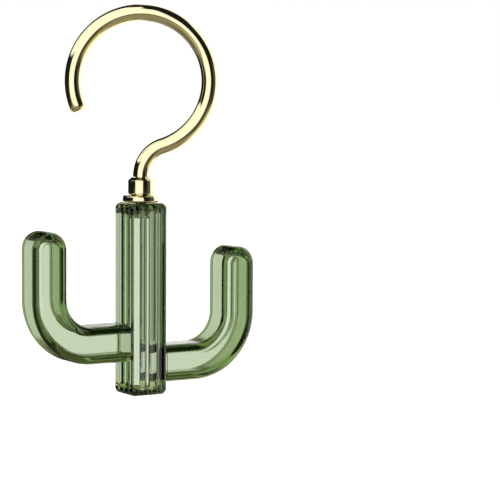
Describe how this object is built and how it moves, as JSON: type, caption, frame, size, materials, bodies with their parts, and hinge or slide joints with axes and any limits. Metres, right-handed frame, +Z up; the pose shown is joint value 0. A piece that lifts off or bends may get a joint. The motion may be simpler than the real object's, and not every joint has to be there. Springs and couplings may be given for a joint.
{
  "type": "rotating purse hanger",
  "caption": "Bag hanger with a closet-rod hook that swivels on a ribbed upright with two upturned arms.",
  "frame": {"origin": "the hook loop's inner crest, where the hanger sits on a closet rod, on the swivel's axis", "axes": "+Z up along the swivel's axis, +X from the trunk towards the lower, right arm, -Y the front"},
  "size_m": [0.1096, 0.0364, 0.169],
  "materials": {
    "gold_plating": "polished pale gold plating",
    "green_acrylic": "clear tinted acrylic, polished",
    "insert_brass": "machined",
    "steel": "zinc plated",
    "nylon": "natural nylon"
  },
  "bodies": {
    "hook": {"hook_rod": "gold_plating", "thrust_washer": "nylon", "rivet_washer": "steel"},
    "cactus": {"swivel_collar": "gold_plating", "collar_base": "gold_plating", "threaded_stud": "steel", "threaded_insert": "insert_brass", "trunk": "green_acrylic", "left_arm": "green_acrylic", "right_arm": "green_acrylic"}
  },
  "joints": [
    {"name": "swivel", "type": "hinge", "parent": "hook", "child": "cactus", "pos_m": [0, 0, -0.06933], "axis": [0, 0, 1], "continuous": true}
  ]
}
